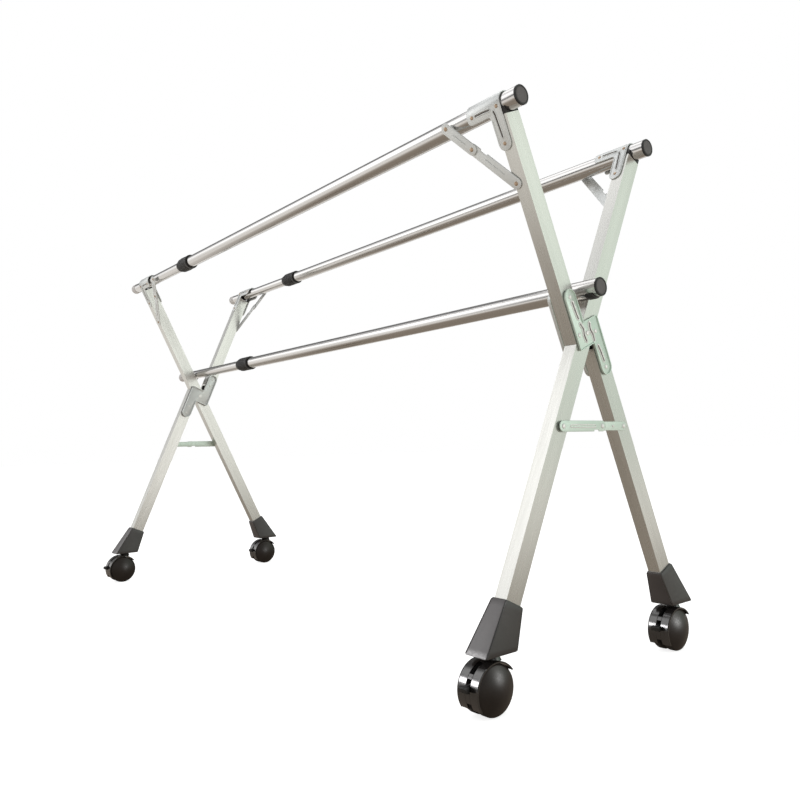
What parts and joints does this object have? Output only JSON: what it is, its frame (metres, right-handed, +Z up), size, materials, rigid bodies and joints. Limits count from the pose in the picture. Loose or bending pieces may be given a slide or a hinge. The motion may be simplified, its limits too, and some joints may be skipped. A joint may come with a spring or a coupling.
{
  "type": "rolling clothes rack",
  "caption": "Folding rolling clothes rack: two X-shaped end frames on braked casters, joined by telescopic hanging rails with twist locks.",
  "frame": {"origin": "on the floor, under the middle of the rack's overall length and width", "axes": "+X along the rails toward the end frame with the plugged rail ends, +Z up, -Y the front rail's side"},
  "size_m": [1.776, 0.601, 0.9805],
  "materials": {
    "stainless": "polished stainless tube",
    "leg": "satin silver-grey coating",
    "plate": "satin zinc-grey pressed sheet",
    "black_plastic": "matt moulded",
    "cap": "matt moulded",
    "gloss_black": "gloss moulded"
  },
  "bodies": {
    "near_front_frame": {"near_split_leg_upper": "leg", "near_split_leg_lower": "leg", "near_cross_plate_outer": "plate", "near_cross_plate_inner": "plate", "near_front_saddle_bracket": "plate", "near_front_stay_short_link": "plate", "near_front_stay_long_link": "plate", "near_back_boot": "black_plastic", "front_rail_outer_tube": "stainless", "front_rail_end_cap": "cap"},
    "near_back_frame": {"near_straight_leg": "leg", "near_back_saddle_bracket": "plate", "near_back_stay_short_link": "plate", "near_back_stay_long_link": "plate", "near_front_boot": "black_plastic", "back_rail_outer_tube": "stainless", "back_rail_end_cap": "cap"},
    "far_front_frame": {"far_straight_leg": "leg", "far_front_saddle_bracket": "plate", "far_front_stay_short_link": "plate", "far_front_stay_long_link": "plate", "far_back_boot": "black_plastic", "front_rail_inner_tube": "stainless"},
    "far_back_frame": {"far_split_leg_upper": "leg", "far_split_leg_lower": "leg", "far_cross_plate_outer": "plate", "far_cross_plate_inner": "plate", "far_back_saddle_bracket": "plate", "far_back_stay_short_link": "plate", "far_back_stay_long_link": "plate", "far_front_boot": "black_plastic", "back_rail_inner_tube": "stainless"},
    "middle_outer": {"middle_rail_outer_tube": "stainless", "middle_rail_end_cap": "cap", "near_middle_rail_seat": "black_plastic"},
    "middle_inner": {"middle_rail_inner_tube": "stainless", "far_middle_rail_seat": "black_plastic"},
    "near_stay_short": {"near_lower_stay_short_link": "plate"},
    "near_stay_long": {"near_lower_stay_long_link": "plate"},
    "far_stay_short": {"far_lower_stay_short_link": "plate"},
    "far_stay_long": {"far_lower_stay_long_link": "plate"},
    "front_sleeve": {"front_rail_lock_sleeve": "black_plastic"},
    "back_sleeve": {"back_rail_lock_sleeve": "black_plastic"},
    "middle_sleeve": {"middle_rail_lock_sleeve": "black_plastic"},
    "near_front_caster": {"near_front_caster_hood": "gloss_black"},
    "near_front_caster_wheel_a": {"near_front_caster_wheel_a": "gloss_black"},
    "near_front_caster_wheel_b": {"near_front_caster_wheel_b": "gloss_black"},
    "near_front_caster_lever": {"near_front_caster_brake_lever": "black_plastic"},
    "near_back_caster": {"near_back_caster_hood": "gloss_black"},
    "near_back_caster_wheel_a": {"near_back_caster_wheel_a": "gloss_black"},
    "near_back_caster_wheel_b": {"near_back_caster_wheel_b": "gloss_black"},
    "near_back_caster_lever": {"near_back_caster_brake_lever": "black_plastic"},
    "far_back_caster": {"far_back_caster_hood": "gloss_black"},
    "far_back_caster_wheel_a": {"far_back_caster_wheel_a": "gloss_black"},
    "far_back_caster_wheel_b": {"far_back_caster_wheel_b": "gloss_black"},
    "far_back_caster_lever": {"far_back_caster_brake_lever": "black_plastic"},
    "far_front_caster": {"far_front_caster_hood": "gloss_black"},
    "far_front_caster_wheel_a": {"far_front_caster_wheel_a": "gloss_black"},
    "far_front_caster_wheel_b": {"far_front_caster_wheel_b": "gloss_black"},
    "far_front_caster_lever": {"far_front_caster_brake_lever": "black_plastic"}
  },
  "joints": [
    {"name": "rail_telescope", "type": "slide", "parent": "near_front_frame", "child": "far_front_frame", "axis": [1, 0, 0], "range_m": [-0.6, 0.13]},
    {"name": "near_scissor", "type": "hinge", "parent": "near_front_frame", "child": "near_back_frame", "pos_m": [0.84, 0.0145, 0.592], "axis": [1, 0, 0], "range_deg": [0, 30]},
    {"name": "far_scissor", "type": "hinge", "parent": "far_front_frame", "child": "far_back_frame", "pos_m": [-0.76, 0.0145, 0.592], "axis": [1, 0, 0], "range_deg": [0, 30]},
    {"name": "middle_rail_outer_rise", "type": "slide", "parent": "near_front_frame", "child": "middle_outer", "axis": [0, -0.4394, 0.8983], "range_m": [0, 0.1035]},
    {"name": "middle_rail_inner_rise", "type": "slide", "parent": "far_front_frame", "child": "middle_inner", "axis": [0, -0.4394, 0.8983], "range_m": [0, 0.1035]},
    {"name": "near_stay_short_fold", "type": "hinge", "parent": "near_front_frame", "child": "near_stay_short", "pos_m": [0.84, 0.11012, 0.429], "axis": [-1, 0, 0], "range_deg": [0, 77.83]},
    {"name": "near_stay_long_fold", "type": "hinge", "parent": "near_stay_short", "child": "near_stay_long", "pos_m": [0.84, 0.04312, 0.429], "axis": [1, 0, 0], "range_deg": [0, 128.26]},
    {"name": "far_stay_short_fold", "type": "hinge", "parent": "far_back_frame", "child": "far_stay_short", "pos_m": [-0.76, -0.08112, 0.429], "axis": [1, 0, 0], "range_deg": [0, 77.83]},
    {"name": "far_stay_long_fold", "type": "hinge", "parent": "far_stay_short", "child": "far_stay_long", "pos_m": [-0.76, -0.01412, 0.429], "axis": [-1, 0, 0], "range_deg": [0, 128.26]},
    {"name": "front_sleeve_twist", "type": "hinge", "parent": "near_front_frame", "child": "front_sleeve", "pos_m": [-0.43, -0.1655, 0.96], "axis": [-1, 0, 0], "range_deg": [0, 90]},
    {"name": "back_sleeve_twist", "type": "hinge", "parent": "near_back_frame", "child": "back_sleeve", "pos_m": [-0.43, 0.1945, 0.96], "axis": [-1, 0, 0], "range_deg": [0, 90]},
    {"name": "middle_sleeve_twist", "type": "hinge", "parent": "middle_outer", "child": "middle_sleeve", "pos_m": [-0.41, 0.0145, 0.6685], "axis": [-1, 0, 0], "range_deg": [0, 90]},
    {"name": "near_front_caster_swivel", "type": "hinge", "parent": "near_back_frame", "child": "near_front_caster", "pos_m": [0.84, -0.2375, 0.088], "axis": [0, 0, 1], "continuous": true},
    {"name": "near_front_caster_wheel_a_spin", "type": "hinge", "parent": "near_front_caster", "child": "near_front_caster_wheel_a", "pos_m": [0.84, -0.2475, 0.039], "axis": [1, 0, 0], "continuous": true},
    {"name": "near_front_caster_wheel_b_spin", "type": "hinge", "parent": "near_front_caster", "child": "near_front_caster_wheel_b", "pos_m": [0.84, -0.2475, 0.039], "axis": [1, 0, 0], "continuous": true},
    {"name": "near_front_caster_brake", "type": "hinge", "parent": "near_front_caster", "child": "near_front_caster_lever", "pos_m": [0.84, -0.2785, 0.05], "axis": [1, 0, 0], "range_deg": [0, 15]},
    {"name": "near_back_caster_swivel", "type": "hinge", "parent": "near_front_frame", "child": "near_back_caster", "pos_m": [0.84, 0.2665, 0.088], "axis": [0, 0, 1], "continuous": true},
    {"name": "near_back_caster_wheel_a_spin", "type": "hinge", "parent": "near_back_caster", "child": "near_back_caster_wheel_a", "pos_m": [0.84, 0.2565, 0.039], "axis": [1, 0, 0], "continuous": true},
    {"name": "near_back_caster_wheel_b_spin", "type": "hinge", "parent": "near_back_caster", "child": "near_back_caster_wheel_b", "pos_m": [0.84, 0.2565, 0.039], "axis": [1, 0, 0], "continuous": true},
    {"name": "near_back_caster_brake", "type": "hinge", "parent": "near_back_caster", "child": "near_back_caster_lever", "pos_m": [0.84, 0.2255, 0.05], "axis": [1, 0, 0], "range_deg": [0, 15]},
    {"name": "far_back_caster_swivel", "type": "hinge", "parent": "far_front_frame", "child": "far_back_caster", "pos_m": [-0.76, 0.2665, 0.088], "axis": [0, 0, 1], "continuous": true},
    {"name": "far_back_caster_wheel_a_spin", "type": "hinge", "parent": "far_back_caster", "child": "far_back_caster_wheel_a", "pos_m": [-0.76, 0.2565, 0.039], "axis": [1, 0, 0], "continuous": true},
    {"name": "far_back_caster_wheel_b_spin", "type": "hinge", "parent": "far_back_caster", "child": "far_back_caster_wheel_b", "pos_m": [-0.76, 0.2565, 0.039], "axis": [1, 0, 0], "continuous": true},
    {"name": "far_back_caster_brake", "type": "hinge", "parent": "far_back_caster", "child": "far_back_caster_lever", "pos_m": [-0.76, 0.2255, 0.05], "axis": [1, 0, 0], "range_deg": [0, 15]},
    {"name": "far_front_caster_swivel", "type": "hinge", "parent": "far_back_frame", "child": "far_front_caster", "pos_m": [-0.76, -0.2375, 0.088], "axis": [0, 0, 1], "continuous": true},
    {"name": "far_front_caster_wheel_a_spin", "type": "hinge", "parent": "far_front_caster", "child": "far_front_caster_wheel_a", "pos_m": [-0.76, -0.2475, 0.039], "axis": [1, 0, 0], "continuous": true},
    {"name": "far_front_caster_wheel_b_spin", "type": "hinge", "parent": "far_front_caster", "child": "far_front_caster_wheel_b", "pos_m": [-0.76, -0.2475, 0.039], "axis": [1, 0, 0], "continuous": true},
    {"name": "far_front_caster_brake", "type": "hinge", "parent": "far_front_caster", "child": "far_front_caster_lever", "pos_m": [-0.76, -0.2785, 0.05], "axis": [1, 0, 0], "range_deg": [0, 15]}
  ],
  "couplings": [
    {"joint": "far_scissor", "follows": "near_scissor", "ratio": 1},
    {"joint": "middle_rail_outer_rise", "follows": "near_scissor", "m_per_rad": 0.19672},
    {"joint": "middle_rail_inner_rise", "follows": "near_scissor", "m_per_rad": 0.19672},
    {"joint": "near_stay_short_fold", "follows": "near_scissor", "ratio": 2.5938},
    {"joint": "near_stay_long_fold", "follows": "near_scissor", "ratio": 4.2747},
    {"joint": "far_stay_short_fold", "follows": "near_scissor", "ratio": 2.5938},
    {"joint": "far_stay_long_fold", "follows": "near_scissor", "ratio": 4.2747}
  ]
}
